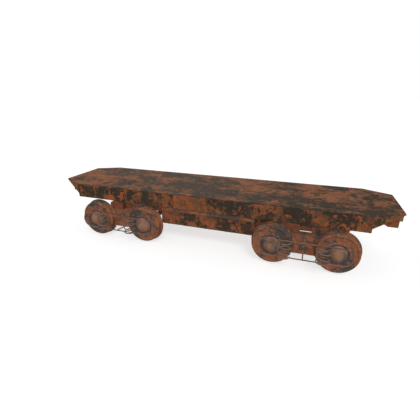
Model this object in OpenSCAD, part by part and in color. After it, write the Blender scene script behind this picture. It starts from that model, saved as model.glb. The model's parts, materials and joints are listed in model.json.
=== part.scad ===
// Eight-wheel mine flat car: a steel platform on two swivelling bogies.
// Millimetres. X runs along the car and +X is the front end, Y runs across it, Z is up.
// The origin is midway along and across the car, on the plane the wheel flanges stand on.

/* [Deck] */
// Length of the deck from end edge to end edge
deck_len = 3660; // [3000:10:4400]
// Width of the deck between the side sills' outer faces
deck_w = 850; // [700:10:1040]
// Width of the straight end edge
end_w = 570; // [500:10:680]
// Length of each tapered end
end_taper = 267; // [220:1:330]
// Thickness of the deck plates
plate_t = 12; // [8:1:16]
// Width of the seam between the deck plates
seam = 2; // [1:0.5:4]

/* [Underframe] */
// Height of the side sills
sill_h = 151; // [130:1:190]
// Thickness of the side sill webs, flanges and end sills
sill_t = 12; // [8:1:16]
// Width of the side sill flanges
sill_flange = 60; // [40:1:75]
// Height of the lip that the end sill leaves under the sloping end plate
end_lip = 40; // [20:1:60]
// Thickness of the plates that close the tapered ends
end_plate_t = 8; // [5:1:12]
// Height of the centre sills
centre_sill_h = 136; // [110:1:140]
// Distance across the outer faces of the centre sills
centre_sill_w = 220; // [180:2:260]
// Thickness of the centre sill webs and flanges
centre_sill_t = 10; // [8:1:14]
// Width of the centre sill flanges
centre_sill_flange = 40; // [25:1:60]
// Thickness of the cross-bearers
bearer_t = 10; // [6:1:14]
// Height of the body bolsters
body_bolster_h = 53; // [40:1:60]
// Width of the body bolsters along the car
body_bolster_w = 120; // [100:2:150]

/* [Belly box] */
// Gap between each side of the box and the backs of the wheels
box_side_gap = 58; // [52:1:80]
// Gap along the car between the box and the end of a bogie frame
box_gap = 73; // [60:1:120]
// Height of the underside of the box above the rail
box_bottom_h = 194; // [160:1:260]
// Thickness of the box plates
box_t = 8; // [5:1:10]
// Height of the wing plates that carry the box's sides on past its ends
wing_h = 106; // [60:1:106]
// Gap along the car between the wing plates and the saddles
wing_gap = 35; // [32:1:60]

/* [Side pipes] */
// Outer diameter of the pipe on each side of the box
pipe_d = 38; // [30:1:44]
// Bore of the pipe
pipe_bore = 30; // [20:1:36]
// Diameter of the collar on each end of the pipe
collar_d = 46; // [42:1:52]
// Length of the collar
collar_len = 18; // [10:1:30]
// Height of the pipe's centre above the rail
pipe_h = 377; // [330:1:390]
// How far the pipe stops short of each end of the box
pipe_inset = 29; // [20:1:60]
// Gap between the pipe and the side of the box
pipe_standoff = 4; // [4:0.5:8]
// Width of each pipe bracket
bracket_w = 24; // [16:1:40]
// Distance from the pipe's end to the middle of the bracket beside it
bracket_inset = 83; // [50:1:120]

/* [Ends] */
// Length of the end beam across the car
beam_len = 450; // [380:2:500]
// Thickness of the end beam along the car
beam_w = 93; // [70:1:110]
// Height of the end beam
beam_h = 81; // [72:1:100]
// How far the end beam stands in from the deck's end edge
beam_inset = 20; // [12:1:40]
// Thickness of the brackets that carry the end beam
beam_bracket_t = 14; // [8:1:20]
// Width of the coupling head
head_w = 110; // [90:2:130]
// Height of the coupling head
head_h = 72; // [60:1:80]
// Width of the slot that takes a coupling link
slot_w = 70; // [50:1:80]
// Height of the slot
slot_h = 34; // [26:1:40]
// Depth of the slot
slot_depth = 58; // [50:1:62]
// Diameter of the coupling pin
pin_d = 24; // [18:1:28]
// Diameter of the coupling pin's head
pin_head_d = 38; // [32:1:42]
// Gap between the coupling pin's head and the deck's end edge
pin_head_gap = 4; // [3:0.5:10]

/* [Wheels] */
// Tread diameter of the wheels
wheel_d = 400; // [340:2:480]
// Width of the wheels
wheel_w = 88; // [76:1:100]
// Height of the wheel flanges
flange_h = 14; // [10:0.5:20]
// Distance between the backs of the two wheels on an axle
back_to_back = 716; // [600:2:860]
// Diameter of the axles
axle_d = 64; // [52:1:76]
// Radius of the foot of the domed hub cap
dome_r = 88; // [66:1:92]
// Height of the domed hub cap
dome_h = 60; // [48:1:62]
// Outer radius of the hub cap's lip
lip_r = 106; // [92:1:116]

/* [Bogies] */
// Distance between the two bogie centres
bogie_spread = 2038; // [1700:2:2440]
// Distance between the two axles of a bogie
wheelbase = 606; // [520:2:730]
// Thickness of the side frame webs
frame_t = 14; // [10:1:18]
// Gap between a side frame and the back of a wheel
frame_gap = 13; // [10:1:20]
// Height of the side frame's top face above the axle
frame_rise = 80; // [74:1:100]
// Depth of the side frame below the axle
frame_drop = 107; // [90:1:130]
// How far a side frame reaches past each axle
frame_end = 97; // [80:1:110]
// Width of the side frame's top flange
top_flange = 137; // [120:1:160]
// Width of the side frame's bottom flange
low_flange = 40; // [30:1:60]
// Width of the bogie bolster along the car
bolster_w = 114; // [100:2:130]
// Gap between the side frame's top face and the bogie bolster
bolster_gap = 6; // [4:1:20]
// Length of each saddle along the car
saddle_len = 167; // [120:1:190]
// Length of each saddle across the car
saddle_w = 135; // [90:1:150]
// Distance of each transom from the bogie centre
transom_x = 120; // [90:1:150]
// Thickness of each centre plate
centre_plate_t = 16; // [12:1:20]
// Diameter of the upper centre plate
centre_plate_d = 200; // [160:2:220]
// Diameter of the king pins
king_pin_d = 40; // [30:1:50]
// Outer diameter of the axle bushes
bush_d = 80; // [76:1:90]

/* [Side loops and springs] */
// Diameter of the loop and stay rods
rod_d = 12; // [10:0.5:16]
// Half the height of the loop between rod centres
loop_half_h = 86.5; // [80:0.5:100]
// Height of the loop's middle above the axle
loop_rise = 10; // [0:0.5:20]
// How far the loop reaches past each axle
loop_reach = 129; // [110:1:160]
// Outer radius of the coil springs
spring_r = 64; // [50:1:66]
// Diameter of the spring wire
wire_d = 12; // [8:0.5:14]
// Turns in each coil spring, counted in halves
spring_turns = 3.5; // [2.5:1:5.5]
// Distance from an axle to the spring beside it
spring_offset = 127; // [124:1:150]

/* [Clearances] */
// Gap between the tread tops and the side sills
wheel_clear = 42; // [30:1:80]
// Radial clearance of shafts and pins that turn or slide
run_clear = 0.05; // [0.01:0.01:0.1]
// Radial clearance of parts pressed together
press_clear = 0.02; // [0.01:0.01:0.05]
// Gap between a rod and a round piece that rests on it
seat_gap = 0.3; // [0.2:0.05:0.5]
// Gap between the side bearers and the bogie bolster
bearer_gap = 2; // [1:0.5:5]
// Root gap of the welds between the belly box and its wing plates
weld_gap = 0.3; // [0.2:0.05:0.5]

/* [Hidden] */
$fn = 64;

// Heights
rail_z = flange_h;
axle_z = rail_z + wheel_d / 2;
sill_z = rail_z + wheel_d + wheel_clear;
deck_under = sill_z + sill_h;
centre_sill_z = deck_under - centre_sill_h;
body_bolster_z = centre_sill_z - body_bolster_h;
bolster_top = body_bolster_z - 2 * centre_plate_t;
frame_top = axle_z + frame_rise;
frame_low = axle_z - frame_drop;
bolster_z = frame_top + bolster_gap;
slope_z = sill_z + end_lip;
box_z = rail_z + box_bottom_h;
pipe_z = rail_z + pipe_h;
loop_z = axle_z + loop_rise;

// Plan of the body
half_len = deck_len / 2;
half_w = deck_w / 2;
end_half = end_w / 2;
taper_x = half_len - end_taper;
taper_grade = (half_w - end_half) / end_taper;
side_skew = sqrt(1 + taper_grade * taper_grade);
side_strip = end_plate_t * side_skew;
sill_in = half_w - sill_t;
flange_in = half_w - sill_flange;
centre_half = centre_sill_w / 2;
bogie_x = bogie_spread / 2;
wheel_back = back_to_back / 2;
frame_half = wheelbase / 2 + frame_end;
box_half_w = wheel_back - box_side_gap;
box_half_len = bogie_x - frame_half - box_gap;
wing_end = bogie_x - bolster_w / 2 - saddle_len - wing_gap;
pipe_y = box_half_w + pipe_standoff + pipe_d / 2;
pipe_half = box_half_len - pipe_inset;

// Plan of a bogie
wheel_face = wheel_back + wheel_w;
frame_y = wheel_back - frame_gap;
frame_in = frame_y - frame_t;
bolster_half = frame_y - top_flange;
saddle_in = 60;
saddle_y = frame_y - saddle_in;
housing_len = 62;
housing_y = frame_in - housing_len;
lip_h = 6;
dome_ball = (dome_r * dome_r + dome_h * dome_h) / (2 * dome_h);
spring_gap = 1;
spring_y = wheel_face + lip_h + spring_gap + spring_r;
spring_x = wheelbase / 2 - spring_offset;
loop_half = wheelbase / 2 + loop_reach;

// Coupling
beam_x = half_len - beam_inset;
beam_z = sill_z;
head_z = beam_z + beam_h / 2;
pin_x = half_len + pin_head_gap + pin_head_d / 2;
head_x = pin_x + slot_depth / 2;

// How far a cut runs past the face that it opens
cut = 1;

RUST = [0.50, 0.30, 0.20];
DARK = [0.24, 0.19, 0.16];
BROWN = [0.40, 0.29, 0.24];
STEEL = [0.42, 0.40, 0.40];
BRONZE = [0.55, 0.42, 0.22];

// Places its children at both ends of the car, the rear one turned round
module both_ends() {
    children();
    rotate([0, 0, 180]) children();
}

// Places its children on both sides, the right-hand one mirrored
module both_sides() {
    children();
    mirror([0, 1, 0]) children();
}

// Extrudes a profile drawn in Y and Z along X, from x0 to x1
module along_x(x0, x1) {
    translate([x0, 0, 0]) rotate([90, 0, 90]) linear_extrude(x1 - x0) children();
}

// Extrudes a profile drawn in X and Z along Y, from y0 to y1
module along_y(y0, y1) {
    translate([0, y1, 0]) rotate([90, 0, 0]) linear_extrude(y1 - y0) children();
}

// A block given by its lowest and highest corners
module block(low, high) {
    translate(low) cube(high - low);
}

// A cylinder lying along Y, from y0 to y1
module bar_y(x, z, r, y0, y1) {
    translate([x, y1, z]) rotate([90, 0, 0]) cylinder(r = r, h = y1 - y0);
}

// ---- Deck ----

// Place along X of the tapered edge at the distance y from the middle line
function taper_at(y) = half_len - (y - end_half) / taper_grade;

module deck_centre_plate() {
    edge = end_half - seam / 2;
    color(RUST) block([-half_len, -edge, deck_under], [half_len, edge, deck_under + plate_t]);
}

module deck_edge_plates() {
    inner = end_half + seam / 2;
    reach = taper_at(inner);
    outline = [[-reach, inner], [reach, inner], [taper_x, half_w], [-taper_x, half_w]];
    color(RUST) both_sides() translate([0, 0, deck_under]) linear_extrude(plate_t) polygon(outline);
}

// ---- Underframe ----

module side_sill() {
    section = [
        [half_w, sill_z], [half_w, deck_under], [flange_in, deck_under],
        [flange_in, deck_under - sill_t], [sill_in, deck_under - sill_t],
        [sill_in, sill_z + sill_t], [flange_in, sill_z + sill_t], [flange_in, sill_z]
    ];
    color(DARK) along_x(-taper_x, taper_x) polygon(section);
}

// Plate across the car that fits between the flanges of the side sills
module end_sill() {
    half = [
        [flange_in, sill_z], [flange_in, sill_z + sill_t], [sill_in, sill_z + sill_t],
        [sill_in, deck_under - sill_t], [flange_in, deck_under - sill_t], [flange_in, deck_under]
    ];
    other = [for (i = [len(half) - 1 : -1 : 0]) [-half[i][0], half[i][1]]];
    along_x(taper_x - sill_t, taper_x) polygon(concat(half, other));
}

module end_sills() {
    color(DARK) both_ends() end_sill();
}

// Wedge between the tapered end's sloping underside and the deck
module end_wedge() {
    along_y(-half_w, half_w) polygon([[taper_x, slope_z], [half_len, deck_under], [taper_x, deck_under]]);
}

module end_side_plates() {
    strip = [
        [taper_x, half_w], [half_len, end_half],
        [half_len, end_half - side_strip], [taper_x, half_w - side_strip]
    ];
    color(DARK) both_ends() both_sides() intersection() {
        end_wedge();
        translate([0, 0, sill_z]) linear_extrude(sill_h) polygon(strip);
    }
}

module end_slope_plates() {
    grade = (deck_under - slope_z) / end_taper;
    lift = end_plate_t * sqrt(1 + grade * grade);
    profile = [
        [taper_x, slope_z], [half_len, deck_under],
        [half_len - lift / grade, deck_under], [taper_x, slope_z + lift]
    ];
    near = half_w - side_strip;
    far = end_half - side_strip;
    plan = [[taper_x, -near], [half_len, -far], [half_len, far], [taper_x, near]];
    color(DARK) both_ends() intersection() {
        along_y(-half_w, half_w) polygon(profile);
        translate([0, 0, sill_z]) linear_extrude(sill_h) polygon(plan);
    }
}

module centre_sills() {
    web_in = centre_half - centre_sill_t;
    lip_in = centre_half - centre_sill_flange;
    section = [
        [centre_half, centre_sill_z], [centre_half, deck_under], [lip_in, deck_under],
        [lip_in, deck_under - centre_sill_t], [web_in, deck_under - centre_sill_t],
        [web_in, centre_sill_z + centre_sill_t], [lip_in, centre_sill_z + centre_sill_t],
        [lip_in, centre_sill_z]
    ];
    end = taper_x - sill_t;
    color(DARK) both_sides() along_x(-end, end) polygon(section);
}

// Plate from a centre sill to a side sill, whose lower edge is at the height low
module cross_bearer(x, low) {
    profile = [
        [centre_half, low], [flange_in, low], [flange_in, max(low, sill_z + sill_t)],
        [sill_in, sill_z + sill_t], [sill_in, deck_under - sill_t],
        [flange_in, deck_under - sill_t], [flange_in, deck_under], [centre_half, deck_under]
    ];
    along_x(x - bearer_t / 2, x + bearer_t / 2) polygon(profile);
}

// Cross-bearers stand over the belly box, the tips of its wing plates and each bolster,
// and midway to each end sill
module cross_bearers() {
    box_end = box_half_len - bearer_t / 2;
    wing_tip = wing_end - bearer_t / 2;
    outer = (bogie_x + taper_x) / 2;
    color(DARK) both_sides() {
        cross_bearer(0, sill_z);
        for (s = [-1, 1]) {
            for (x = [box_half_len / 2, box_end, wing_tip, outer]) cross_bearer(s * x, sill_z);
            cross_bearer(s * bogie_x, centre_sill_z);
        }
    }
}

module body_bolsters() {
    side_gap = 5;
    half_x = body_bolster_w / 2;
    half_y = flange_in - side_gap;
    color(DARK) both_ends() difference() {
        block([bogie_x - half_x, -half_y, body_bolster_z], [bogie_x + half_x, half_y, centre_sill_z]);
        translate([bogie_x, 0, body_bolster_z - cut])
            cylinder(r = king_pin_d / 2 + press_clear, h = body_bolster_h + 2 * cut);
    }
}

module upper_centre_plates() {
    color(STEEL) both_ends() translate([bogie_x, 0, body_bolster_z - centre_plate_t]) difference() {
        cylinder(d = centre_plate_d, h = centre_plate_t);
        translate([0, 0, -cut]) cylinder(r = king_pin_d / 2 + press_clear, h = centre_plate_t + 2 * cut);
    }
}

// Blocks under each body bolster that keep the car from rocking on its bogies
module side_bearers() {
    half_x = 40;
    half_y = 25;
    end_gap = 13;
    middle = bolster_half - end_gap - half_y;
    low = [bogie_x - half_x, middle - half_y, bolster_top + bearer_gap];
    high = [bogie_x + half_x, middle + half_y, body_bolster_z];
    color(STEEL) both_ends() both_sides() block(low, high);
}

// Pin through both bolsters, with its head above and its nut below
module king_pins() {
    head_h = 14;
    head_lip = 14;
    nut_h = 13;
    nut_gap = 1;
    low = bolster_z - nut_gap - nut_h;
    color(STEEL) both_ends() translate([bogie_x, 0, 0]) {
        translate([0, 0, low]) cylinder(d = king_pin_d, h = centre_sill_z - low);
        translate([0, 0, low]) cylinder(r = king_pin_d / 2 + head_lip, h = nut_h);
        translate([0, 0, centre_sill_z]) cylinder(r = king_pin_d / 2 + head_lip, h = head_h);
    }
}

// ---- Belly box and side pipes ----

// Two sides and two ends, with a wing plate that carries each side on towards the bogies
module belly_box_walls() {
    inner = box_half_w - box_t;
    side_low = [-box_half_len, inner, box_z];
    side_high = [box_half_len, box_half_w, sill_z];
    end_low = [box_half_len - box_t, -inner, box_z];
    end_high = [box_half_len, inner, sill_z];
    wing_low = [box_half_len + weld_gap, inner, sill_z - wing_h];
    wing_high = [wing_end, box_half_w, sill_z];
    color(DARK) {
        both_sides() block(side_low, side_high);
        both_ends() block(end_low, end_high);
        both_ends() both_sides() block(wing_low, wing_high);
    }
}

module belly_box_floor() {
    half_x = box_half_len - box_t;
    half_y = box_half_w - box_t;
    color(DARK) block([-half_x, -half_y, box_z], [half_x, half_y, box_z + box_t]);
}

module side_pipe() {
    translate([-pipe_half, pipe_y, pipe_z]) rotate([0, 90, 0]) difference() {
        union() {
            cylinder(d = pipe_d, h = 2 * pipe_half);
            cylinder(d = collar_d, h = collar_len);
            translate([0, 0, 2 * pipe_half - collar_len]) cylinder(d = collar_d, h = collar_len);
        }
        translate([0, 0, -cut]) cylinder(d = pipe_bore, h = 2 * (pipe_half + cut));
    }
}

module side_pipes() {
    color(STEEL) both_sides() side_pipe();
}

// Cradle that carries the pipe from below
module pipe_bracket(x) {
    under = 8;
    half = bracket_w / 2;
    low = [x - half, box_half_w, pipe_z - pipe_d / 2 - under];
    high = [x + half, pipe_y + pipe_d / 4, pipe_z];
    difference() {
        block(low, high);
        translate([x - half - cut, pipe_y, pipe_z]) rotate([0, 90, 0])
            cylinder(r = pipe_d / 2 + press_clear, h = bracket_w + 2 * cut);
    }
}

module pipe_brackets() {
    spacing = pipe_half - bracket_inset;
    color(DARK) both_sides() for (x = [-spacing, 0, spacing]) pipe_bracket(x);
}

// ---- Ends ----

module end_beams() {
    low = [beam_x - beam_w, -beam_len / 2, beam_z];
    high = [beam_x, beam_len / 2, beam_z + beam_h];
    color(DARK) both_ends() block(low, high);
}

// Height of the sloping underside at x
function slope_at(x) = slope_z + (deck_under - slope_z) * (x - taper_x) / end_taper;

// Gussets on top of each end beam, up to the sloping underside
module end_beam_brackets() {
    edge = 6;
    root = 45;
    back = beam_x - beam_w;
    front = beam_x - edge;
    start = taper_x + root;
    profile = [
        [start, slope_at(start)], [back, beam_z + edge], [back, beam_z + beam_h],
        [front, beam_z + beam_h], [front, slope_at(front)]
    ];
    outer = beam_len / 2;
    color(DARK) both_ends() both_sides() along_y(outer - beam_bracket_t, outer) polygon(profile);
}

// Coupling head bolted to the end beam, with a slot for a link and a hole for its pin
module drawheads() {
    flange_t = 10;
    ear = 34;
    half = head_w / 2;
    low = head_z - head_h / 2;
    high = head_z + head_h / 2;
    color(BROWN) both_ends() difference() {
        union() {
            block([beam_x, -half, low], [head_x, half, high]);
            block([beam_x, -half - ear, low], [beam_x + flange_t, half + ear, high]);
        }
        block([head_x - slot_depth, -slot_w / 2, head_z - slot_h / 2],
            [head_x + cut, slot_w / 2, head_z + slot_h / 2]);
        translate([pin_x, 0, low - cut]) cylinder(r = pin_d / 2 + run_clear, h = head_h + 2 * cut);
    }
}

// Drop pin with a ring on its head
module coupling_pin() {
    tail = 15;
    pin_head_h = 12;
    ring_r = 13;
    ring_rod = 4;
    sunk = 1;
    top = head_z + head_h / 2;
    low = head_z - head_h / 2 - tail;
    color(STEEL) translate([pin_x, 0, 0]) {
        translate([0, 0, low]) cylinder(d = pin_d, h = top - low + sunk);
        translate([0, 0, top]) cylinder(d = pin_head_d, h = pin_head_h);
        translate([0, 0, top + pin_head_h + ring_r - sunk]) rotate([0, 90, 0])
            rotate_extrude() translate([ring_r, 0]) circle(r = ring_rod);
    }
}

// ---- Bogie, drawn round its own centre ----

// Side frame on the left: a channel with its web outboard
module side_frame() {
    // Corners cut off the ends of the web, above and below
    shoulder = 20;
    toe = [70, 57];
    // How far the flanges stop short of those corners
    short = [2, 5];
    window = 4;
    toe_z = frame_low + toe[1];
    web = [
        [-frame_half, toe_z], [toe[0] - frame_half, frame_low], [frame_half - toe[0], frame_low],
        [frame_half, toe_z], [frame_half, frame_top - shoulder], [frame_half - shoulder, frame_top],
        [shoulder - frame_half, frame_top], [-frame_half, frame_top - shoulder]
    ];
    top = frame_half - shoulder - short[0];
    low = frame_half - toe[0] - short[1];
    color(BROWN) difference() {
        union() {
            along_y(frame_in, frame_y) polygon(web);
            block([-top, frame_y - top_flange, frame_top - sill_t], [top, frame_y, frame_top]);
            block([-low, frame_in - low_flange, frame_low], [low, frame_y, frame_low + sill_t]);
        }
        for (s = [-1, 1])
            bar_y(s * wheelbase / 2, axle_z, bush_d / 2 + window, frame_in - cut, frame_y + cut);
    }
}

// Plates across the bogie, one on each side of its middle
module transoms() {
    transom_t = 12;
    foot_gap = 10;
    low = [transom_x, -frame_in, frame_low + sill_t + foot_gap];
    high = [transom_x + transom_t, frame_in, frame_top - sill_t];
    color(BROWN) both_ends() block(low, high);
}

module bolster() {
    half_x = bolster_w / 2;
    color(BROWN) difference() {
        block([-half_x, -bolster_half, bolster_z], [half_x, bolster_half, bolster_top]);
        translate([0, 0, bolster_z - cut])
            cylinder(r = king_pin_d / 2 + run_clear, h = bolster_top - bolster_z + 2 * cut);
    }
}

// Blocks on the side frames that grip the bolster from both sides
module saddles() {
    drop = 7;
    chamfer = 10;
    inner = bolster_w / 2;
    outer = inner + saddle_len;
    top = bolster_top - drop;
    profile = [
        [inner, frame_top], [outer, frame_top], [outer, top - chamfer], [outer - chamfer, top], [inner, top]
    ];
    color(BROWN) both_ends() both_sides() along_y(saddle_y - saddle_w, saddle_y) polygon(profile);
}

// Lower centre plate: a dish that the upper plate turns in
module centre_plate() {
    rim_w = 8;
    rim_h = 7;
    play = 2;
    r = centre_plate_d / 2 + play;
    color(STEEL) translate([0, 0, bolster_top]) difference() {
        cylinder(r = r + rim_w, h = centre_plate_t + rim_h);
        translate([0, 0, centre_plate_t]) cylinder(r = r, h = rim_h + cut);
        translate([0, 0, -cut]) cylinder(r = king_pin_d / 2 + run_clear, h = centre_plate_t + 2 * cut);
    }
}

// Round housings for the bushes, each on a flat foot against the side frame
module axle_boxes() {
    foot_t = 16;
    foot_size = [144, 92];
    barrel_t = 18;
    barrel_r = bush_d / 2 + barrel_t;
    color(BROWN) both_sides() for (s = [-1, 1]) difference() {
        union() {
            bar_y(s * wheelbase / 2, axle_z, barrel_r, housing_y, frame_in);
            translate([s * wheelbase / 2, 0, axle_z])
                along_y(frame_in - foot_t, frame_in) square(foot_size, center = true);
        }
        bar_y(s * wheelbase / 2, axle_z, bush_d / 2 + press_clear, housing_y - cut, frame_in + cut);
    }
}

module bushes() {
    color(BRONZE) both_sides() for (s = [-1, 1]) difference() {
        bar_y(s * wheelbase / 2, axle_z, bush_d / 2, housing_y, frame_in);
        bar_y(s * wheelbase / 2, axle_z, axle_d / 2 + run_clear, housing_y - cut, frame_in + cut);
    }
}

// One rod bent into a long loop round both hubs
module side_loop() {
    straight = loop_half - loop_half_h;
    translate([0, spring_y, loop_z]) {
        for (s = [-1, 1]) {
            translate([-straight, 0, s * loop_half_h]) rotate([0, 90, 0])
                cylinder(d = rod_d, h = 2 * straight);
            translate([s * straight, 0, 0]) rotate([90, 0, 0]) rotate([0, 0, s * 90 - 180])
                rotate_extrude(angle = 180) translate([loop_half_h, 0]) circle(d = rod_d);
        }
    }
}

module side_loops() {
    color(BROWN) both_sides() side_loop();
}

// Straight rod from the side frame's web to the loop
module loop_stay(web_z, end_z) {
    end_y = spring_y - rod_d / 2 - seat_gap;
    run = spring_y - frame_y;
    tilt = atan2(end_z - web_z, run);
    spare = 2 * rod_d;
    intersection() {
        translate([0, frame_y, web_z]) rotate([tilt - 90, 0, 0])
            translate([0, 0, -spare]) cylinder(d = rod_d, h = run / cos(tilt) + 2 * spare);
        block([-rod_d, frame_y, min(web_z, end_z) - spare], [rod_d, end_y, max(web_z, end_z) + spare]);
    }
}

module loop_stays() {
    color(BROWN) both_sides() {
        loop_stay(frame_top - sill_t, loop_z + loop_half_h);
        loop_stay(frame_low + sill_t, loop_z - loop_half_h);
    }
}

// Closed-ended coil spring standing between z0 and z1
module coil(z0, z1) {
    per_turn = 16;
    sides = 8;
    wire_r = wire_d / 2;
    mean_r = spring_r - wire_r;
    rings = round(spring_turns * per_turn);
    free = spring_turns - 1;
    function climb(t) = min(max((t - 0.5) / free, 0), 1);
    points = [
        for (i = [0 : rings], j = [0 : sides - 1])
            let (t = i / per_turn, a = 360 * t, b = 360 * j / sides, r = mean_r + wire_r * cos(b))
            [r * cos(a), r * sin(a), z0 + wire_r + (z1 - z0 - wire_d) * climb(t) + wire_r * sin(b)]
    ];
    walls = [
        for (i = [0 : rings - 1], j = [0 : sides - 1])
            let (k = (j + 1) % sides, p = i * sides, q = p + sides)
            each [[p + j, q + j, q + k], [p + j, q + k, p + k]]
    ];
    caps = [
        [for (j = [0 : sides - 1]) j],
        [for (j = [sides - 1 : -1 : 0]) rings * sides + j]
    ];
    polyhedron(points, concat(walls, caps));
}

module springs() {
    reach = loop_half_h - rod_d / 2 - seat_gap;
    color(BROWN) both_sides() for (s = [-1, 1])
        translate([s * spring_x, spring_y, 0]) coil(loop_z - reach, loop_z + reach);
}

// ---- Wheelsets, drawn round their own axle ----

module axle() {
    stub = 24;
    collar_gap = 2;
    collar_step = 10;
    collar_w = 12;
    end_y = wheel_face + stub;
    inner = housing_y - collar_gap;
    color(STEEL) union() {
        bar_y(0, axle_z, axle_d / 2, -end_y, end_y);
        both_sides() bar_y(0, axle_z, axle_d / 2 + collar_step, inner - collar_w, inner);
    }
}

// Left-hand wheel: the flange is on the inboard side
module wheel() {
    r = wheel_d / 2;
    crest = r + flange_h;
    bore = axle_d / 2 + press_clear;
    boss = axle_d / 2 + 32;
    boss_out = 8;
    edge = 4;
    dish = 6;
    web_t = 18;
    rim_t = 28;
    flange_w = 23;
    fillet = 7;
    tread_edge = 8;
    inner = r - rim_t;
    face = wheel_w - dish;
    // Each point is a radius and a distance outboard from the back of the wheel
    hub = [
        [bore, -boss_out], [boss, -boss_out], [boss + edge, edge - boss_out], [boss + 2 * edge, face - web_t]
    ];
    back = [[inner - dish, face - web_t], [inner, edge], [inner + edge, 0]];
    flange = [[crest - 9, 0], [crest - 3, 3], [crest, 9], [crest - 1, 14], [r + 3, flange_w]];
    tread = [[r, flange_w + fillet], [r - 1, wheel_w - tread_edge], [r - tread_edge - 1, wheel_w]];
    front = [[inner + dish, wheel_w], [inner, face], [lip_r + dish, face], [lip_r, wheel_w], [bore, wheel_w]];
    profile = concat(hub, back, flange, tread, front);
    color(BROWN) translate([0, wheel_back, axle_z]) rotate([-90, 0, 0]) rotate_extrude() polygon(profile);
}

// Left-hand hub cap: a hollow dome on a flat flange with a raised lip
module hub_cap() {
    wall = 8;
    flat = 3;
    lip_t = 9;
    translate([0, wheel_face, axle_z]) rotate([-90, 0, 0]) difference() {
        union() {
            translate([0, 0, dome_h - dome_ball]) sphere(r = dome_ball);
            cylinder(r = lip_r, h = flat);
            difference() {
                cylinder(r = lip_r, h = lip_h);
                translate([0, 0, -cut]) cylinder(r = lip_r - lip_t, h = lip_h + 2 * cut);
            }
        }
        translate([0, 0, dome_h - dome_ball]) sphere(r = dome_ball - wall);
        translate([0, 0, -2 * dome_ball]) cylinder(r = dome_ball + cut, h = 2 * dome_ball);
    }
}

module hub_caps() {
    color(BROWN) both_sides() hub_cap();
}

// Places its children at the front bogie, the rear bogie and the four axles, 1 at the front
module front_bogie() {
    translate([bogie_x, 0, 0]) children();
}

module rear_bogie() {
    translate([-bogie_x, 0, 0]) children();
}

module at_axle(n) {
    places = [
        bogie_x + wheelbase / 2, bogie_x - wheelbase / 2,
        wheelbase / 2 - bogie_x, -wheelbase / 2 - bogie_x
    ];
    translate([places[n - 1], 0, 0]) children();
}

deck_centre_plate();
deck_edge_plates();
side_sill();  // side_sill_left
mirror([0, 1, 0]) side_sill();  // side_sill_right
end_sills();
end_slope_plates();
end_side_plates();
centre_sills();
cross_bearers();
body_bolsters();
upper_centre_plates();
side_bearers();
king_pins();
belly_box_walls();
belly_box_floor();
side_pipes();
pipe_brackets();
end_beams();
end_beam_brackets();
drawheads();
coupling_pin();  // coupling_pin_front
rotate([0, 0, 180]) coupling_pin();  // coupling_pin_rear

front_bogie() side_frame();  // front_side_frame_left
front_bogie() mirror([0, 1, 0]) side_frame();  // front_side_frame_right
front_bogie() transoms();  // front_transoms
front_bogie() bolster();  // front_bolster
front_bogie() saddles();  // front_saddles
front_bogie() centre_plate();  // front_centre_plate
front_bogie() axle_boxes();  // front_axle_boxes
front_bogie() bushes();  // front_bushes
front_bogie() side_loops();  // front_side_loops
front_bogie() loop_stays();  // front_loop_stays
front_bogie() springs();  // front_springs

rear_bogie() side_frame();  // rear_side_frame_left
rear_bogie() mirror([0, 1, 0]) side_frame();  // rear_side_frame_right
rear_bogie() transoms();  // rear_transoms
rear_bogie() bolster();  // rear_bolster
rear_bogie() saddles();  // rear_saddles
rear_bogie() centre_plate();  // rear_centre_plate
rear_bogie() axle_boxes();  // rear_axle_boxes
rear_bogie() bushes();  // rear_bushes
rear_bogie() side_loops();  // rear_side_loops
rear_bogie() loop_stays();  // rear_loop_stays
rear_bogie() springs();  // rear_springs

at_axle(1) axle();  // axle_1
at_axle(1) wheel();  // wheel_1_left
at_axle(1) mirror([0, 1, 0]) wheel();  // wheel_1_right
at_axle(1) hub_caps();  // hub_caps_1
at_axle(2) axle();  // axle_2
at_axle(2) wheel();  // wheel_2_left
at_axle(2) mirror([0, 1, 0]) wheel();  // wheel_2_right
at_axle(2) hub_caps();  // hub_caps_2
at_axle(3) axle();  // axle_3
at_axle(3) wheel();  // wheel_3_left
at_axle(3) mirror([0, 1, 0]) wheel();  // wheel_3_right
at_axle(3) hub_caps();  // hub_caps_3
at_axle(4) axle();  // axle_4
at_axle(4) wheel();  // wheel_4_left
at_axle(4) mirror([0, 1, 0]) wheel();  // wheel_4_right
at_axle(4) hub_caps();  // hub_caps_4
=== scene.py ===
"""Looks of an eight-wheel mine flat car: worn plates, turned wheels, bent rods, springs and weld beads."""
import json
import math

import bmesh
import bpy
from mathutils import Matrix, Vector


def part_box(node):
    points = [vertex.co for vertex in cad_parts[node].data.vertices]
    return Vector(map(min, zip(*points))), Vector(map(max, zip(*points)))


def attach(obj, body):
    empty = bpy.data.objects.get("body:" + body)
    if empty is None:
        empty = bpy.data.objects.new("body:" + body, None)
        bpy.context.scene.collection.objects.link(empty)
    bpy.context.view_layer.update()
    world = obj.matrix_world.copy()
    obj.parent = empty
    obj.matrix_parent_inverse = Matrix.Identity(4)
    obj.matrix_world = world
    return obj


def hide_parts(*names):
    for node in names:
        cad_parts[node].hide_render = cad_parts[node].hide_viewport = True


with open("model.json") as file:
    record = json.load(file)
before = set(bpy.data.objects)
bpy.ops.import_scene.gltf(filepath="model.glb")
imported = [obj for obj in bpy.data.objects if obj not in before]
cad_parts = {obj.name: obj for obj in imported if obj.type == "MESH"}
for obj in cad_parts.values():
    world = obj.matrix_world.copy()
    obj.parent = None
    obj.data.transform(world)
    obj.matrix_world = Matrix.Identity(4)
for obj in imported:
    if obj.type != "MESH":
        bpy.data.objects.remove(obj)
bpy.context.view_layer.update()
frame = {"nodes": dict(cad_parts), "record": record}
scene = bpy.context.scene
scene.view_settings.view_transform = "Standard"

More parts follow.
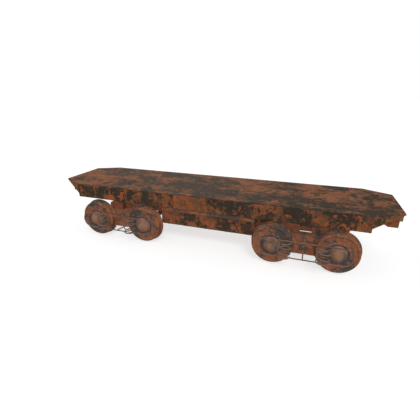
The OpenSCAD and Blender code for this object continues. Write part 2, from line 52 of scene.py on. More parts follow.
# ---- Sizes, in metres, that the frame's boxes don't give ----

FLANGE_H = 0.014          # height of a wheel's flange
WHEEL_W = 0.088           # width of a wheel
AXLE_R = 0.032            # radius of the axles
DOME_R = 0.088            # radius of the foot of the domed hub cap
DOME_H = 0.060            # height of the domed hub cap
LIP_R = 0.106             # radius of the raised lip round the hub cap
LIP_H = 0.006             # height of that lip
SPRING_R = 0.064          # outer radius of a coil spring
WIRE_R = 0.006            # radius of its wire
SPRING_TURNS = 3.5        # turns in a coil spring
ROD_R = 0.006             # radius of the loop and stay rods
SEAM_Y = 0.285            # distance of the deck's seams from its middle line
RUBBED_Y = 0.421          # distance of the rubbed lines by the deck's edges from its middle line
BOX_T = 0.008             # thickness of the belly box's plates
WING_H = 0.106            # height of the wing plates beside the box
TOP_FLANGE = 0.137        # width of a side frame's top flange
BOGIES = ("front", "rear")
SIDES = (("left", 1), ("right", -1))


# ---- Nodes from Python ----

class Wire:
    """A node's output. Python arithmetic on it adds Math nodes."""

    def __init__(self, tree, socket):
        self.tree = tree
        self.socket = socket

    def math(self, operation, first, second=0.0):
        return self.tree.add("ShaderNodeMath", {"operation": operation}, {0: first, 1: second})

    def __add__(self, other):
        return self.math("ADD", self, other)

    def __sub__(self, other):
        return self.math("SUBTRACT", self, other)

    def __rsub__(self, other):
        return self.math("SUBTRACT", other, self)

    def __mul__(self, other):
        return self.math("MULTIPLY", self, other)

    def __truediv__(self, other):
        return self.math("DIVIDE", self, other)

    __radd__ = __add__
    __rmul__ = __mul__

    def step(self, low, high):
        """0 below low, 1 above high and smooth between them."""
        return self.tree.add(
            "ShaderNodeMapRange", {"interpolation_type": "SMOOTHSTEP"},
            {"Value": self, "From Min": low, "From Max": high})

    def sine(self):
        return self.math("SINE", self)

    def cosine(self):
        return self.math("COSINE", self)

    def limit(self):
        """Kept between 0 and 1."""
        return self.math("MINIMUM", self.math("MAXIMUM", self, 0.0), 1.0)


class Tree:
    """A node tree, filled by one method."""

    def __init__(self, tree):
        self.tree = tree

    def add(self, kind, settings=None, inputs=None, output=0):
        """Makes a node: its settings first, then the values or links of its sockets."""
        node = self.tree.nodes.new(kind)
        for name, value in (settings or {}).items():
            setattr(node, name, value)
        for key, value in (inputs or {}).items():
            if isinstance(value, Wire):
                self.tree.links.new(value.socket, node.inputs[key])
            else:
                node.inputs[key].default_value = value
        return Wire(self, node.outputs[output]) if node.outputs else node

    def mix(self, share, first, second):
        """The colour first, turned into second by share."""
        return self.add(
            "ShaderNodeMix", {"data_type": "RGBA"}, {0: share, 6: first, 7: second}, output=2)


def tone(code):
    """A colour from its six hex digits, in linear light."""
    parts = [int(code[i:i + 2], 16) / 255 for i in (0, 2, 4)]
    return [p / 12.92 if p <= 0.04045 else ((p + 0.055) / 1.055) ** 2.4 for p in parts] + [1.0]


# ---- Finishes ----

def noise(paint, place, size, detail, rough, twist=0.0):
    """Cloudy value from 0 to 1, whose clouds are about size metres across and curled by twist."""
    return paint.add(
        "ShaderNodeTexNoise", {},
        {"Vector": place, "Scale": 1 / size, "Detail": detail, "Roughness": rough, "Distortion": twist})


def stretched(paint, place, shift, scale):
    """The same coordinates, moved and squeezed."""
    return paint.add("ShaderNodeMapping", {}, {"Vector": place, "Location": shift, "Scale": scale})


def rusted(name, rust, scale, wear_and_highlight_tone, patch, cover, grain, runs=0.0, specks=0.66, wear_and_highlight_radius=0.004, gloss=0.15,
           relief=0.0015, shift=(0, 0, 0), squeeze=(1, 1, 1), lines=(), zones=()):
    """Rusted steel.

    rust holds the pale, middle and vivid tones of the rust, scale the brown and black tones of the mill
    scale that still covers it, and the argument after scale the paler tone of the rounded edges, partly worn
    to the metal and partly a painted highlight where edges catch the light. patch is the size of the patches
    of scale, grain that of the mottling and cover the cloud level where the patches begin. runs is the
    strength of the vertical streaks, specks the cloud level where small spots begin, and the radius argument
    after specks the width of those worn, painted-highlight edges. gloss is how much smoother the scale is
    than the rust, and relief the height of the surface. shift and squeeze move and stretch the pattern. lines
    are distances from the car's middle line along which the surface is worn to the metal in dashes, and zones
    are stretches along the car, each from one X to another, where most of the scale has gone.
    """
    material = bpy.data.materials.new(name)
    material.use_nodes = True
    material.node_tree.nodes.clear()
    paint = Tree(material.node_tree)
    place = paint.add("ShaderNodeTexCoord", output=3)
    here = stretched(paint, place, shift, squeeze)

    clouds = noise(paint, here, patch, 12, 0.76, 0.25)
    drift = noise(paint, stretched(paint, here, (3.1, 1.7, 4.3), (1, 1, 1)), patch * 3.2, 3, 0.5)
    streak = noise(paint, stretched(paint, place, shift, (24, 24, 1.8)), 1.0, 6, 0.62)
    mottle = noise(paint, here, grain, 7, 0.70, 0.2)
    spot = noise(paint, stretched(paint, here, (7.7, 2.9, 5.1), (1, 1, 1)), grain * 1.5, 4, 0.6, 0.5)
    tint = noise(paint, stretched(paint, here, (1.3, 8.4, 2.2), (1, 1, 1)), patch * 0.45, 8, 0.68)
    pits = noise(paint, here, 0.004, 4, 0.6)

    field = clouds + (drift - 0.5) * 0.40 + (streak - 0.5) * runs + (mottle - 0.5) * 0.30
    for start, stop in zones:
        field = field - stretch(paint, place, start, stop) * 0.11
    covered = field.step(cover - 0.012, cover + 0.016)
    deep = field.step(cover + 0.004, cover + 0.060)
    pale, middle, vivid = (tone(code) for code in rust)
    brown, black = (tone(code) for code in scale)
    skin = paint.mix(tint.step(0.44, 0.56), pale, middle)
    skin = paint.mix(mottle.step(0.50, 0.62) * 0.55, skin, vivid)
    crust = paint.mix(deep * 0.85 + mottle.step(0.42, 0.60) * 0.15, brown, black)
    colour = paint.mix(covered, skin, crust)
    colour = paint.mix(spot.step(specks, specks + 0.03) * 0.9, colour, vivid)
    colour = paint.mix((1 - spot).step(specks - 0.01, specks + 0.03) * 0.7, colour, brown)

    # Paler rounded edges and worn dashes: partly metal worn clean, partly a painted highlight on edges that
    # catch the light.
    rounded = paint.add("ShaderNodeBevel", {"samples": 4}, {"Radius": wear_and_highlight_radius})
    plain = paint.add("ShaderNodeNewGeometry", output=1)
    facing = paint.add("ShaderNodeVectorMath", {"operation": "DOT_PRODUCT"}, {0: rounded, 1: plain}, output=1)
    edge_wear_and_highlight = ((1 - facing) * 9 + (mottle - 0.60) * 2.2).step(0.25, 0.6)
    for line in lines:
        edge_wear_and_highlight = edge_wear_and_highlight.math("MAXIMUM", edge_wear_and_highlight, dashed(paint, place, line))
    colour = paint.mix(edge_wear_and_highlight * 0.85, colour, tone(wear_and_highlight_tone))

    height = covered * 0.5 + mottle * 0.5 + pits * 0.3
    bump = paint.add("ShaderNodeBump", {}, {"Height": height, "Distance": relief, "Strength": 0.9})
    rough = 0.92 - covered * gloss - edge_wear_and_highlight * 0.25 + (mottle - 0.5) * 0.15
    shader = paint.add(
        "ShaderNodeBsdfPrincipled", {},
        {"Base Color": colour, "Roughness": rough, "Metallic": edge_wear_and_highlight * 0.4, "Normal": bump,
         "Specular IOR Level": 0.1})
    paint.add("ShaderNodeOutputMaterial", {}, {"Surface": shader})
    return material


def dashed(paint, place, line):
    """Dashes along X at the distance line from the middle of the car."""
    length = 0.11
    across = paint.add("ShaderNodeSeparateXYZ", {}, {0: place}, output=1)
    off = across.math("ABSOLUTE", across.math("ABSOLUTE", across) - line)
    clouds = noise(paint, stretched(paint, place, (line * 9, 0, 0), (1, 5, 1)), length, 5, 0.6)
    return (1 - off.step(0.004, 0.013)) * clouds.step(0.57, 0.63)


def stretch(paint, place, start, stop):
    """1 from start to stop along X and 0 past them."""
    soft = 0.004
    along = paint.add("ShaderNodeSeparateXYZ", {}, {0: place}, output=0)
    return along.step(start - soft, start + soft) - along.step(stop - soft, stop + soft)


FINISHES = {
    "deck_rust": rusted(
        "deck_rust", ("84563b", "6f4a35", "8c5032"), ("544132", "382e24"), "45474f", patch=0.19, cover=0.495,
        grain=0.040, specks=0.62, wear_and_highlight_radius=0.006, gloss=0.12, relief=0.0022, squeeze=(0.8, 1, 1),
        lines=(SEAM_Y, RUBBED_Y)),
    "sill_rust": rusted(
        "sill_rust", ("845032", "664530", "995030"), ("493a2d", "342d25"), "584c41", patch=0.19, cover=0.465,
        grain=0.034, runs=0.30, specks=0.60, gloss=0.14, relief=0.0020, shift=(0.7, 0.2, 0.4),
        zones=((-0.34, 0.03), (1.44, 2.0))),
    "end_rust": rusted(
        "end_rust", ("86532f", "744a2f", "96522f"), ("4c3c2f", "3a3027"), "6a5344", patch=0.15, cover=0.56,
        grain=0.028, runs=0.22, specks=0.60, gloss=0.14, relief=0.0020, shift=(0.5, 0.4, 0.9)),
    "body_rust": rusted(
        "body_rust", ("8f573b", "734c35", "a35734"), ("4e3d30", "3b3127"), "645449", patch=0.16, cover=0.50,
        grain=0.030, runs=0.28, specks=0.61, gloss=0.14, relief=0.0020, shift=(0.2, 0.9, 0.6)),
    "bogie_rust": rusted(
        "bogie_rust", ("965e42", "81543d", "a95b38"), ("635044", "514640"), "8d786a", patch=0.10, cover=0.52,
        grain=0.022, runs=0.05, specks=0.65, gloss=0.16, relief=0.0016, shift=(0.2, 0.6, 0.1)),
    # The wheels' pale edge tone and wide edge radius: partly worn metal, partly a painted highlight on the
    # lit rim and flange edges.
    "wheel_rust": rusted(
        "wheel_rust", ("915e44", "7c513a", "a05837"), ("554a43", "49423f"), "a07f6a", patch=0.085,
        cover=0.495, grain=0.022, specks=0.62, wear_and_highlight_radius=0.006, gloss=0.18, relief=0.0014, shift=(0.9, 0.3, 0.5)),
    "cast_rust": rusted(
        "cast_rust", ("926a55", "806251", "9e6547"), ("6a564a", "5c5048"), "907b69", patch=0.09, cover=0.55,
        grain=0.016, specks=0.67, wear_and_highlight_radius=0.003, gloss=0.2, relief=0.0010, shift=(0.4, 0.8, 0.3)),
    "rod_steel": rusted(
        "rod_steel", ("85624c", "755745", "8f5c40"), ("66544a", "594c44"), "94847a", patch=0.12, cover=0.54,
        grain=0.012, specks=0.68, wear_and_highlight_radius=0.002, gloss=0.2, relief=0.0006),
    "spring_steel": rusted(
        "spring_steel", ("7a6659", "6e5c51", "865f4b"), ("5f514a", "544a44"), "99897c", patch=0.08,
        cover=0.55, grain=0.010, specks=0.72, wear_and_highlight_radius=0.002, gloss=0.22, relief=0.0004),
    "pipe_steel": rusted(
        "pipe_steel", ("a1694a", "8a5a42", "a8623e"), ("6d5d51", "5c5048"), "857a72", patch=0.15, cover=0.48,
        grain=0.018, specks=0.66, wear_and_highlight_radius=0.003, gloss=0.2, relief=0.0008, squeeze=(0.6, 1, 1)),
    "worn_steel": rusted(
        "worn_steel", ("6a5a4e", "5a4d45", "7a4c36"), ("4a423d", "3c3734"), "8c8580", patch=0.08, cover=0.5,
        grain=0.014, specks=0.68, wear_and_highlight_radius=0.003, gloss=0.3, relief=0.0006),
    "bush_bronze": rusted(
        "bush_bronze", ("8a6a3c", "77592f", "7a5a3a"), ("6a5233", "54422a"), "b08c50", patch=0.05, cover=0.58,
        grain=0.010, specks=0.7, wear_and_highlight_radius=0.002, gloss=0.35, relief=0.0004),
    "lip_steel": rusted(
        "lip_steel", ("4f5158", "484a52", "6b5447"), ("42444c", "3b3d44"), "62656d", patch=0.05, cover=0.52,
        grain=0.012, specks=0.68, wear_and_highlight_radius=0.002, gloss=0.3, relief=0.0006),
    "weld_steel": rusted(
        "weld_steel", ("565963", "4b4e57", "7a4c36"), ("43464f", "3a3c44"), "6c727c", patch=0.06, cover=0.5,
        grain=0.012, specks=0.64, wear_and_highlight_radius=0.001, gloss=0.3, relief=0.0006),
}
SLOT_OF = {row["node"]: row["material_slot"] for row in frame["record"]["subparts"]}
BODY_OF = {node: body for body, names in frame["record"]["behaviour"]["bodies"].items() for node in names}


# ---- Pieces ----

def smooth(mesh, angle=32):
    """Smooth shading, with the edges sharper than angle kept crisp."""
    mesh.shade_smooth()
    mesh.set_sharp_from_angle(angle=math.radians(angle))


def place_piece(name, mesh, finishes, body, stands_for=()):
    """Puts a finished mesh in the scene, on its body, in place of the CAD nodes it stands for."""
    piece = bpy.data.objects.new(name, mesh)
    scene.collection.objects.link(piece)
    marks = [face.material_index for face in mesh.polygons]
    mesh.materials.clear()
    for finish in finishes:
        mesh.materials.append(FINISHES[finish])
    mesh.polygons.foreach_set("material_index", marks)
    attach(piece, body)
    if stands_for:
        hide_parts(*stands_for)
    return piece


def plated(node, width, finish=None):
    """A CAD node's shape with edges rounded to width, in the finish of its slot or the one named."""
    work = bmesh.new()
    work.from_mesh(frame["nodes"][node].data)
    bmesh.ops.remove_doubles(work, verts=work.verts, dist=2e-5)
    bmesh.ops.dissolve_limit(
        work, angle_limit=math.radians(0.8), use_dissolve_boundaries=False, verts=work.verts,
        edges=work.edges)
    bmesh.ops.recalc_face_normals(work, faces=work.faces)
    mesh = bpy.data.meshes.new(node + "_worn")
    work.to_mesh(mesh)
    work.free()
    for spare in ("custom_normal", "sharp_face", "sharp_edge"):
        if spare in mesh.attributes:
            mesh.attributes.remove(mesh.attributes[spare])
    smooth(mesh)
    slot = SLOT_OF[node]
    piece = place_piece(node + "_worn", mesh, [finish or slot], BODY_OF[node], [node])
    bevel = piece.modifiers.new("rounded edges", "BEVEL")
    bevel.width = width
    bevel.segments = 2
    bevel.limit_method = "ANGLE"
    bevel.angle_limit = math.radians(35)
    bevel.harden_normals = True
    return piece


def fillet(points, radii, steps=3):
    """The outline with each corner rounded to its radius by a quadratic curve."""
    out = []
    count = len(points)
    for i, (point, radius) in enumerate(zip(points, radii)):
        here = Vector(point)
        if radius == 0 or i in (0, count - 1):
            out.append(here)
            continue
        before, after = Vector(points[i - 1]), Vector(points[i + 1])
        start = here + (before - here).normalized() * min(radius, (before - here).length * 0.49)
        end = here + (after - here).normalized() * min(radius, (after - here).length * 0.49)
        for k in range(steps + 1):
            t = k / steps
            out.append(start * (1 - t) ** 2 + here * 2 * t * (1 - t) + end * t ** 2)
    return out


def turned(name, profile, x, z, side, steps=96, closed=False, marks=None):
    """A mesh turned round an axle at x, z.

    The profile holds (radius, distance from the middle line). marks holds two numbers: the stretches of the
    profile from the first of them up to the second take the second material.
    """
    work = bmesh.new()
    rings = []
    for radius, out in profile:
        if radius < 1e-6:
            rings.append([work.verts.new((x, side * out, z))])
            continue
        ring = []
        for k in range(steps):
            angle = 2 * math.pi * k / steps
            across, up = radius * math.cos(angle), radius * math.sin(angle)
            ring.append(work.verts.new((x + across, side * out, z + up)))
        rings.append(ring)
    pairs = list(zip(rings, rings[1:]))
    if closed:
        pairs.append((rings[-1], rings[0]))
    for index, (one, two) in enumerate(pairs):
        for k in range(steps):
            n = (k + 1) % steps
            corners = [one[k % len(one)], one[n % len(one)], two[n % len(two)], two[k % len(two)]]
            face = work.faces.new(list(dict.fromkeys(corners)))
            face.material_index = 1 if marks and marks[0] <= index < marks[1] else 0
    bmesh.ops.recalc_face_normals(work, faces=work.faces)
    mesh = bpy.data.meshes.new(name)
    work.to_mesh(mesh)
    work.free()
    smooth(mesh, 30)
    return mesh


def wheel(node, side):
    """A flanged wheel with a dished face, rounded rim and raised hub seat."""
    low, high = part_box(node)
    x, z = (low.x + high.x) / 2, (low.z + high.z) / 2
    crest = (high.z - low.z) / 2
    tread = crest - FLANGE_H
    face = max(abs(low.y), abs(high.y))
    back = face - WHEEL_W
    rim = tread - 0.028
    boss = AXLE_R + 0.032
    dish = 0.006
    outline = [
        (AXLE_R, back - 0.008), (boss, back - 0.008), (boss + 0.008, face - 0.024),
        (rim - dish, face - 0.024), (rim, back + 0.003), (rim + 0.004, back), (crest - 0.009, back),
        (crest, back + 0.0045),
        (crest - 0.0015, back + 0.014), (tread + 0.003, back + 0.023), (tread, back + 0.032),
        (tread - 0.001, face - 0.009), (tread - 0.010, face), (rim + dish, face), (rim, face - dish),
        (LIP_R + dish, face - dish), (LIP_R, face), (AXLE_R, face)
    ]
    soft = [
        0, .003, .012, .010, .003, .002, .006, .0045, .004,
        .004, .006, .003, .003, .003, .005, .003, .001, 0]
    mesh = turned(node + "_turned", fillet(outline, soft), x, z, side, closed=True)
    place_piece(node + "_turned", mesh, ["wheel_rust"], BODY_OF[node], [node])


def hub_cap(node, label, side):
    """A domed cap on a flat flange with a raised, blue-grey lip."""
    low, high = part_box(node)
    x, z = (low.x + high.x) / 2, (low.z + high.z) / 2
    face = max(abs(low.y), abs(high.y)) - DOME_H
    wall, flat, lip_t = 0.008, 0.003, 0.009
    ball = (DOME_R ** 2 + DOME_H ** 2) / (2 * DOME_H)
    sunk = ball - DOME_H

    def arc(radius, low_end, steps):
        """Points of the ball's outline, from its pole down to low_end above the face."""
        reach = math.acos((sunk + low_end) / radius)
        return [(radius * math.sin(reach * k / steps), face - sunk + radius * math.cos(reach * k / steps))
                for k in range(steps + 1)]

    dome = arc(ball, flat, 16)
    rim = fillet([
        (LIP_R - lip_t - 0.001, face + flat), (LIP_R - lip_t, face + LIP_H), (LIP_R, face + LIP_H),
        (LIP_R, face + 0.0005)], [0, .0015, .0025, 0])
    inside = arc(ball - wall, 0.0005, 8)[::-1]
    profile = dome + rim + inside
    marks = (len(dome) - 1, len(dome) + len(rim) - 1)
    mesh = turned("%s_%s_turned" % (node, label), profile, x, z, side, marks=marks)
    return place_piece(mesh.name, mesh, ["cast_rust", "lip_steel"], BODY_OF[node])


# ---- Geometry Nodes ----

def new_tree(name, sizes):
    """A Geometry Nodes tree with named number inputs, and the wires of those inputs."""
    group = bpy.data.node_groups.new(name, "GeometryNodeTree")
    group.interface.new_socket("Geometry", in_out="INPUT", socket_type="NodeSocketGeometry")
    for label, value in sizes.items():
        group.interface.new_socket(label, in_out="INPUT", socket_type="NodeSocketFloat").default_value = value
    group.interface.new_socket("Material", in_out="INPUT", socket_type="NodeSocketMaterial")
    group.interface.new_socket("Geometry", in_out="OUTPUT", socket_type="NodeSocketGeometry")
    tree = Tree(group)
    start = group.nodes.new("NodeGroupInput")
    return tree, {s.name: Wire(tree, s) for s in start.outputs if s.name}


def end_tree(tree, shape, given):
    """Realizes the shape, gives it its material and sends it out."""
    shape = tree.add("GeometryNodeRealizeInstances", {}, {0: shape})
    shape = tree.add("GeometryNodeSetShadeSmooth", {}, {"Geometry": shape})
    shape = tree.add("GeometryNodeSetMaterial", {}, {"Geometry": shape, "Material": given["Material"]})
    tree.add("NodeGroupOutput", {}, {0: shape})
    return tree.tree


def coil_tree():
    """Closed-ended coil springs, one on each vertex of the given mesh."""
    tree, given = new_tree(
        "coil spring",
        {"Radius": SPRING_R, "Wire": WIRE_R, "Turns": SPRING_TURNS, "Height": 0.15, "Hand": 1})
    per_turn = 40
    line = tree.add(
        "GeometryNodeMeshLine", {"mode": "OFFSET"},
        {"Count": int(SPRING_TURNS * per_turn) + 1, "Offset": (0, 0, 0.001)})
    index = tree.add("GeometryNodeInputIndex")
    turns = index / per_turn
    climb = ((turns - 0.5) / (given["Turns"] - 1)).limit()
    angle = turns * (2 * math.pi)
    mean = given["Radius"] - given["Wire"]
    rise = (given["Height"] - given["Wire"] * 2) * (climb - 0.5)
    spot = tree.add(
        "ShaderNodeCombineXYZ", {},
        {0: mean * angle.cosine(), 1: mean * angle.sine() * given["Hand"], 2: rise})
    line = tree.add("GeometryNodeSetPosition", {}, {"Geometry": line, "Position": spot})
    path = tree.add("GeometryNodeMeshToCurve", {}, {0: line})
    ring = tree.add("GeometryNodeCurvePrimitiveCircle", {}, {"Resolution": 14, "Radius": given["Wire"]})
    wire = tree.add("GeometryNodeCurveToMesh", {}, {"Curve": path, "Profile Curve": ring, "Fill Caps": True})
    many = tree.add("GeometryNodeInstanceOnPoints", {}, {"Points": given["Geometry"], "Instance": wire})
    return end_tree(tree, many, given)


def rod_tree():
    """Round rods along the given edges."""
    tree, given = new_tree("round rod", {"Radius": ROD_R})
    path = tree.add("GeometryNodeMeshToCurve", {}, {0: given["Geometry"]})
    ring = tree.add("GeometryNodeCurvePrimitiveCircle", {}, {"Resolution": 18, "Radius": given["Radius"]})
    rod = tree.add("GeometryNodeCurveToMesh", {}, {"Curve": path, "Profile Curve": ring, "Fill Caps": True})
    return end_tree(tree, rod, given)


def bead_tree():
    """Weld beads along the given edges: overlapping ripples of slightly different sizes."""
    tree, given = new_tree("weld bead", {"Step": 0.005, "Width": 0.005, "Seed": 3})
    path = tree.add("GeometryNodeMeshToCurve", {}, {0: given["Geometry"]})
    dots = tree.add(
        "GeometryNodeCurveToPoints", {"mode": "LENGTH"}, {"Curve": path, "Length": given["Step"]})
    turn = Wire(tree, dots.socket.node.outputs["Rotation"])
    drop = tree.add("GeometryNodeMeshIcoSphere", {}, {"Radius": 1.0, "Subdivisions": 2})
    uneven = tree.add(
        "FunctionNodeRandomValue", {"data_type": "FLOAT"}, {2: 0.82, 3: 1.15, "Seed": given["Seed"]},
        output=1)
    size = tree.add(
        "ShaderNodeCombineXYZ", {},
        {0: given["Width"] * uneven, 1: given["Width"] * uneven, 2: given["Step"] * 0.95})
    many = tree.add(
        "GeometryNodeInstanceOnPoints", {},
        {"Points": dots, "Instance": drop, "Rotation": turn, "Scale": size})
    return end_tree(tree, many, given)


def bolt_tree():
    """Hexagon bolt heads on washers, standing along X from the given vertices."""
    tree, given = new_tree("bolt", {"Radius": 0.011, "Height": 0.009, "Way": 1})
    washer = tree.add(
        "GeometryNodeMeshCylinder", {},
        {"Vertices": 24, "Radius": given["Radius"] * 1.5, "Depth": given["Height"] * 0.3})
    head = tree.add(
        "GeometryNodeMeshCylinder", {}, {"Vertices": 6, "Radius": given["Radius"], "Depth": given["Height"]})
    lift = tree.add("ShaderNodeCombineXYZ", {}, {2: given["Height"] * 0.5})
    head = tree.add("GeometryNodeSetPosition", {}, {"Geometry": head, "Offset": lift})
    both = tree.add("GeometryNodeJoinGeometry", {}, {0: washer})
    tree.tree.links.new(head.socket, both.socket.node.inputs[0])
    turn = tree.add("ShaderNodeCombineXYZ", {}, {1: given["Way"] * (math.pi / 2)})
    many = tree.add(
        "GeometryNodeInstanceOnPoints", {}, {"Points": given["Geometry"], "Instance": both, "Rotation": turn})
    return end_tree(tree, many, given)


def grown(name, tree, points, chains, sizes, finish, body, stands_for=()):
    """Runs a tree on a mesh of vertices and chained edges, and keeps the result as a plain mesh."""
    seed = bpy.data.meshes.new(name + "_seed")
    edges = [(a, b) for chain in chains for a, b in zip(chain, chain[1:])]
    seed.from_pydata([tuple(p) for p in points], edges, [])
    carrier = bpy.data.objects.new(name + "_seed", seed)
    scene.collection.objects.link(carrier)
    modifier = carrier.modifiers.new(tree.name, "NODES")
    modifier.node_group = tree
    for item in tree.interface.items_tree:
        if item.in_out == "INPUT" and item.name in sizes:
            modifier[item.identifier] = float(sizes[item.name])
        if item.in_out == "INPUT" and item.name == "Material":
            modifier[item.identifier] = FINISHES[finish]
    graph = bpy.context.evaluated_depsgraph_get()
    mesh = bpy.data.meshes.new_from_object(carrier.evaluated_get(graph))
    mesh.name = name
    bpy.data.objects.remove(carrier)
    mesh.set_sharp_from_angle(angle=math.radians(40))
    return place_piece(name, mesh, [finish], body, stands_for)


def polyline(paths):
    """All the paths' points in one list, and the chain of indices of each path."""
    points, chains = [], []
    for path in paths:
        chains.append(range(len(points), len(points) + len(path)))
        points += [Vector(p) for p in path]
    return points, chains


def stitches(start, end, bead, gap):
    """Runs of bead, with gaps between them, evenly along a line."""
    start, end = Vector(start), Vector(end)
    length = (end - start).length
    count = max(1, int((length + gap) / (bead + gap)))
    space = (length - count * bead) / (count - 1) if count > 1 else 0
    paths = []
    for k in range(count):
        a = k * (bead + space)
        paths.append([start.lerp(end, a / length), start.lerp(end, min(1, (a + bead) / length))])
    return paths


def springs(end, tree):
    """Four coil springs of one bogie, of opposite hand on its two sides."""
    node = end + "_springs"
    low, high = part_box(node)
    middle = (low.z + high.z) / 2
    for label, side in SIDES:
        spots = [(x, side * (high.y - SPRING_R), middle) for x in (low.x + SPRING_R, high.x - SPRING_R)]
        sizes = {
            "Radius": SPRING_R, "Wire": WIRE_R, "Turns": SPRING_TURNS, "Height": high.z - low.z, "Hand": side}
        name = "%s_springs_%s" % (end, label)
        grown(name, tree, spots, [], sizes, "spring_steel", "bogie_" + end,
              [node] if side == 1 else ())


def side_loops(end, tree):
    """The long rod loops outboard of the wheels."""
    node = end + "_side_loops"
    low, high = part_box(node)
    half_h = (high.z - low.z) / 2 - ROD_R
    half_l = (high.x - low.x) / 2 - ROD_R - half_h
    x, z = (low.x + high.x) / 2, (low.z + high.z) / 2
    steps = 28
    paths = []
    for side in (1, -1):
        out = side * (high.y - ROD_R)
        path = []
        for way in (1, -1):
            for k in range(steps + 1):
                angle = way * math.pi / 2 - math.pi * k / steps
                path.append((x + way * half_l + half_h * math.cos(angle), out, z + half_h * math.sin(angle)))
        path.append(path[0])
        paths.append(path)
    points, chains = polyline(paths)
    chains = [list(c[:-1]) + [c[0]] for c in chains]
    grown(end + "_side_loops_bent", tree, points, chains, {"Radius": ROD_R}, "rod_steel", "bogie_" + end,
          [node])


# ---- Welds and bolts ----

def deck_welds():
    """Stitch welds sunk in the seams of the deck."""
    low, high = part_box("deck_centre_plate")
    sunk, inset = 0.005, 0.05
    bead, gap = 0.15, 0.16
    paths = []
    for side in (1, -1):
        start = (low.x + inset, side * SEAM_Y, high.z - sunk)
        stop = (high.x - inset, side * SEAM_Y, high.z - sunk)
        paths += stitches(start, stop, bead, gap)
    points, chains = polyline(paths)
    grown("deck_welds", BEAD, points, chains, {"Step": 0.0045, "Width": 0.0042, "Seed": 5}, "weld_steel",
          "car_frame")


def box_welds():
    """Beads down the corners of the belly box, along its floor and at the roots of its wing plates."""
    low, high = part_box("belly_box_walls")
    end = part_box("belly_box_floor")[1].x + BOX_T
    wing = high.z - WING_H
    corner, root, keel = 0.988, 0.997, 0.975
    inset = 0.03
    bead, gap = 0.08, 0.12
    paths = []
    for x in (-end, end):
        for y in (low.y, high.y):
            paths.append([(x, y * corner, low.z), (x, y * corner, wing)])
            paths.append([(x, y * root, wing), (x, y * root, high.z)])
    for y in (low.y, high.y):
        paths += stitches((inset - end, y * keel, low.z), (end - inset, y * keel, low.z), bead, gap)
    points, chains = polyline(paths)
    grown("box_welds", BEAD, points, chains, {"Step": 0.005, "Width": 0.0035, "Seed": 8}, "body_rust",
          "car_frame")


def saddle_welds(end):
    """Beads round the feet of the saddles on the side frames."""
    low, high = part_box(end + "_saddles")
    bolster_low, bolster_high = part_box(end + "_bolster")
    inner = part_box(end + "_side_frame_left")[1].y - TOP_FLANGE
    foot = low.z + 0.001
    trim, tuck = 0.004, 0.01
    paths = []
    for start, stop in ((low.x, bolster_low.x), (bolster_high.x, high.x)):
        edge = start if abs(start - low.x) < 1e-6 else stop
        for side in (1, -1):
            outer = side * high.y
            paths.append([(start + trim, outer, foot), (stop - trim, outer, foot)])
            paths.append([(edge, side * (inner + tuck), foot), (edge, outer, foot)])
    points, chains = polyline(paths)
    sizes = {"Step": 0.005, "Width": 0.004, "Seed": 11}
    grown(end + "_saddle_welds", BEAD, points, chains, sizes, "bogie_rust", "bogie_" + end)


def stay_welds(end):
    """A ring of bead where each stay meets the side frame, and a short bead where it meets the loop."""
    low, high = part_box(end + "_loop_stays")
    frame_low, frame_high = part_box(end + "_side_frame_left")
    loops_low, loops_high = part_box(end + "_side_loops")
    x = (low.x + high.x) / 2
    inset, half, steps = 0.012, 0.012, 16
    ring_r = ROD_R + 0.001
    paths = []
    for side in (1, -1):
        web = side * (frame_high.y + 0.001)
        for z in (frame_high.z - inset, frame_low.z + inset):
            ring = []
            for k in range(steps + 1):
                angle = 2 * math.pi * k / steps
                ring.append((x + ring_r * math.cos(angle), web, z + ring_r * math.sin(angle)))
            paths.append(ring)
        out = side * (high.y + 0.001)
        for z in (loops_low.z + ROD_R, loops_high.z - ROD_R):
            paths.append([(x - half, out, z), (x + half, out, z)])
    points, chains = polyline(paths)
    sizes = {"Step": 0.0035, "Width": 0.0032, "Seed": 14}
    grown(end + "_stay_welds", BEAD, points, chains, sizes, "rod_steel", "bogie_" + end)


def coupling_bolts(label, way):
    """Four bolts that hold a drawhead to its end beam."""
    low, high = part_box("drawheads")
    flange_t = 0.010
    half_w, half_h = 0.072, 0.021
    face = way * (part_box("end_beams")[1].x + flange_t)
    middle = (low.z + high.z) / 2
    spots = [(face, y, middle + dz) for y in (-half_w, half_w) for dz in (-half_h, half_h)]
    grown("drawhead_bolts_" + label, BOLT, spots, [], {"Radius": 0.010, "Height": 0.008, "Way": way},
          "worn_steel", "car_frame")


# ---- Build ----

COIL, ROD, BEAD, BOLT = coil_tree(), rod_tree(), bead_tree(), bolt_tree()

for k in range(1, 5):
    for label, side in SIDES:
        wheel("wheel_%d_%s" % (k, label), side)
    caps = [hub_cap("hub_caps_%d" % k, label, side) for label, side in SIDES]
    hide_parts("hub_caps_%d" % k)
    plated("axle_%d" % k, 0.0015)

for end in BOGIES:
    springs(end, COIL)
    side_loops(end, ROD)
    for part in ("side_frame_left", "side_frame_right", "transoms", "bolster", "saddles", "centre_plate",
                 "axle_boxes", "bushes", "loop_stays"):
        plated("%s_%s" % (end, part), 0.0012 if part in ("bushes", "loop_stays") else 0.003)

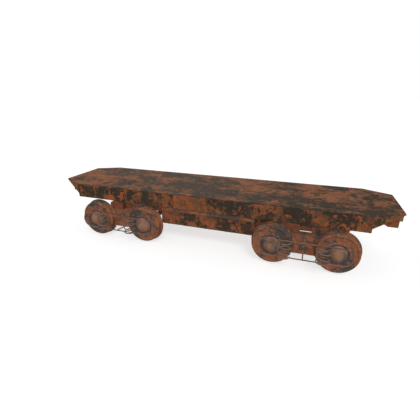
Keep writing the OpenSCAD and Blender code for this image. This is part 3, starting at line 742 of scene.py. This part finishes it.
for node, width, *finish in (
        ("deck_centre_plate", 0.0035), ("deck_edge_plates", 0.0035), ("side_sill_left", 0.004, "sill_rust"),
        ("side_sill_right", 0.004, "sill_rust"), ("end_sills", 0.003), ("end_slope_plates", 0.002),
        ("end_side_plates", 0.0025, "end_rust"), ("centre_sills", 0.003), ("cross_bearers", 0.0015),
        ("body_bolsters", 0.003), ("upper_centre_plates", 0.002), ("side_bearers", 0.003),
        ("king_pins", 0.002), ("belly_box_walls", 0.0025), ("belly_box_floor", 0.0025),
        ("side_pipes", 0.0012), ("pipe_brackets", 0.0015), ("end_beams", 0.004, "deck_rust"),
        ("end_beam_brackets", 0.002), ("drawheads", 0.005), ("coupling_pin_front", 0.0015),
        ("coupling_pin_rear", 0.0015)):
    plated(node, width, *finish)

deck_welds()
box_welds()
for end in BOGIES:
    saddle_welds(end)
    stay_welds(end)
coupling_bolts("front", 1)
coupling_bolts("rear", -1)


# ---- Studio ----

def studio():
    """A plain pale floor, soft light from above and behind, and a camera."""
    bpy.ops.mesh.primitive_plane_add(size=160, location=(0, 0, 0))
    floor = bpy.context.object
    floor.name = "floor"
    pale = bpy.data.materials.new("floor_paint")
    pale.use_nodes = True
    paint = pale.node_tree.nodes["Principled BSDF"].inputs
    paint["Base Color"].default_value = (0.6, 0.6, 0.6, 1)
    paint["Roughness"].default_value = 1.0
    paint["Specular IOR Level"].default_value = 0.0
    paint["Emission Color"].default_value = (1, 1, 1, 1)
    paint["Emission Strength"].default_value = 0.45
    floor.data.materials.append(pale)
    floor.visible_diffuse = False

    world = bpy.data.worlds.new("sky")
    world.use_nodes = True
    world.node_tree.nodes.clear()
    sky = Tree(world.node_tree)
    seen = sky.add("ShaderNodeLightPath")
    glow = sky.add("ShaderNodeBackground", {}, {"Color": (1, 1, 1, 1), "Strength": seen * 0.6 + 0.4})
    sky.add("ShaderNodeOutputWorld", {}, {"Surface": glow})
    scene.world = world

    # name, energy, spread, where the light comes from, casts a shadow
    for name, energy, spread, source, shade in (
            ("key", 0.9, 25, (0.35, -0.60, 0.72), True),
            ("fill", 1.4, 25, (0.30, -0.65, 0.66), False),
            ("back_fill", 0.9, 25, (-0.35, 0.80, 0.35), False)):
        sun = bpy.data.objects.new(name, bpy.data.lights.new(name, "SUN"))
        sun.data.energy = energy
        sun.data.angle = math.radians(spread)
        sun.data.use_shadow = shade
        sun.rotation_euler = Vector(source).to_track_quat("Z", "Y").to_euler()
        scene.collection.objects.link(sun)

    camera = bpy.data.objects.new("camera", bpy.data.cameras.new("camera"))
    camera.data.sensor_width = 36.0
    camera.data.lens = 25.53
    camera.data.clip_end = 500
    camera.location = (0.9845, -3.1017, 1.5877)
    turn = Matrix.Rotation(math.radians(18.79), 4, "Z")
    tilt = Matrix.Rotation(math.radians(90 - 21.24), 4, "X")
    roll = Matrix.Rotation(math.radians(0.06), 4, "Z")
    camera.rotation_euler = (turn @ tilt @ roll).to_euler()
    scene.collection.objects.link(camera)
    scene.camera = camera


studio()
